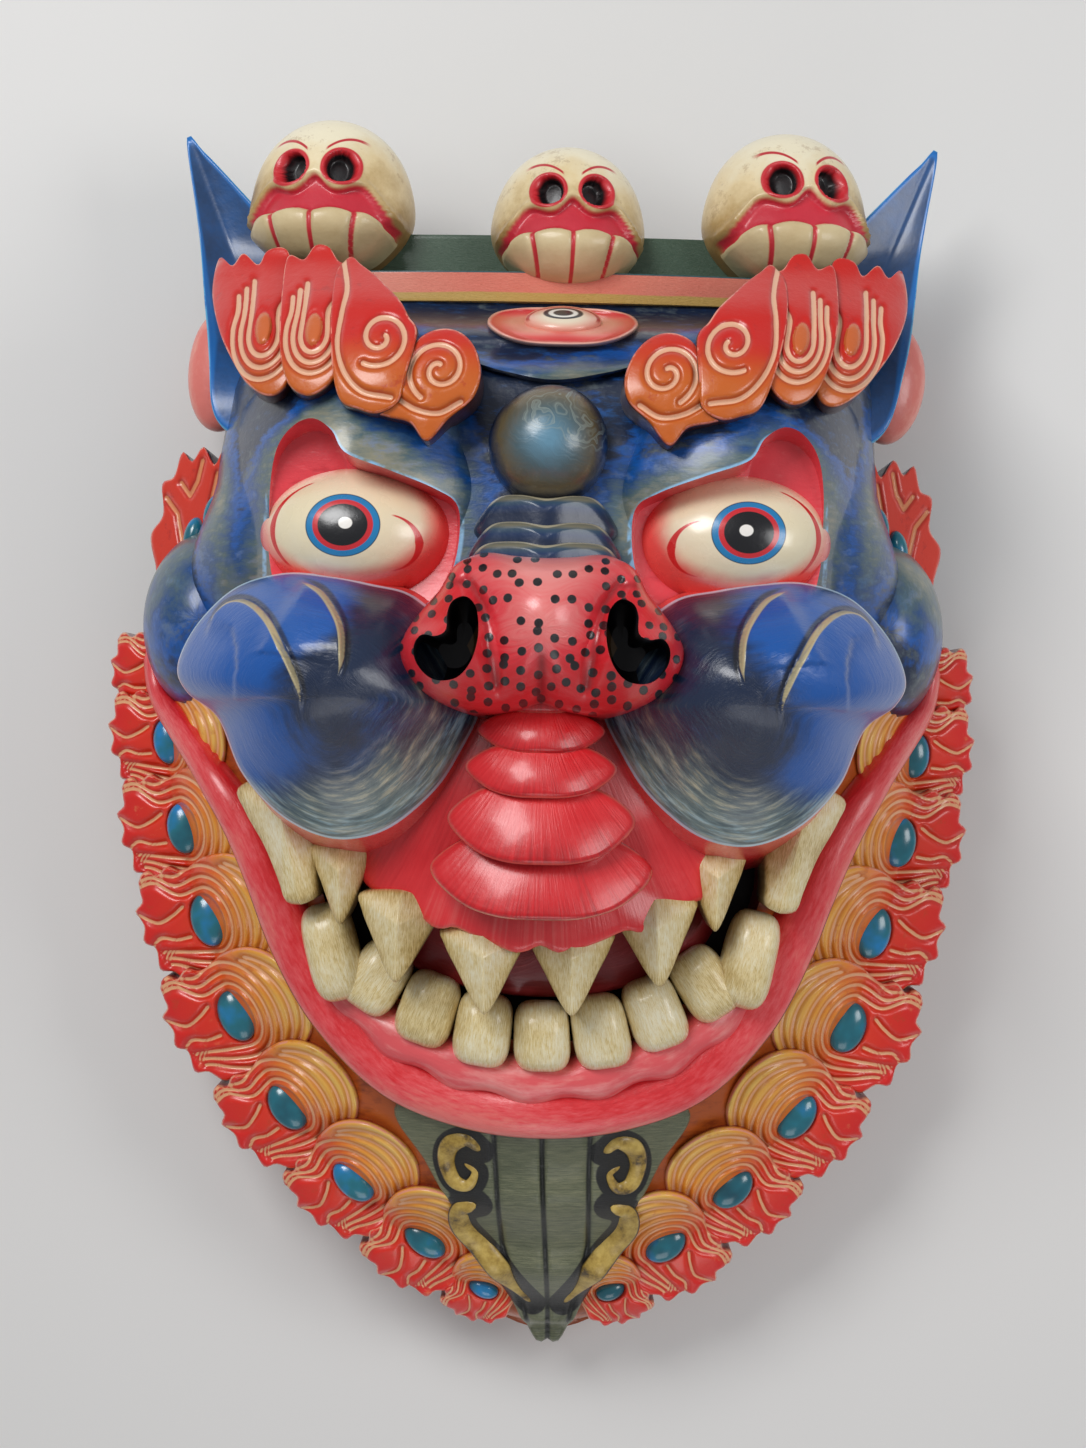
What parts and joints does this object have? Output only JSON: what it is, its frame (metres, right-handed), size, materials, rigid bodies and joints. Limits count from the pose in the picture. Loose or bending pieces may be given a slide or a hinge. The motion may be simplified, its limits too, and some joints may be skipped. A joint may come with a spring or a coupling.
{
  "type": "cham dance mask",
  "caption": "Carved and painted wooden dance mask: a wrathful blue bull-like face with bulging eyes, bared fangs, flame brows and beard, and a crown of skulls.",
  "frame": {"origin": "centre of the footprint on the plane of the back rim, on which the mask lies", "axes": "+Z out of the face, +Y towards the crown, +X towards the viewer's right when looking at the face"},
  "size_m": [0.5146, 0.732, 0.302],
  "materials": {
    "painted_wood": "hand-painted blue, red and gold under worn gloss lacquer",
    "skull_paint": "bone-coloured paint, dirty in the hollows, under gloss lacquer"
  },
  "bodies": {
    "root": {"mask_body": "painted_wood", "skull_left": "skull_paint", "skull_centre": "skull_paint", "skull_right": "skull_paint"}
  },
  "joints": []
}
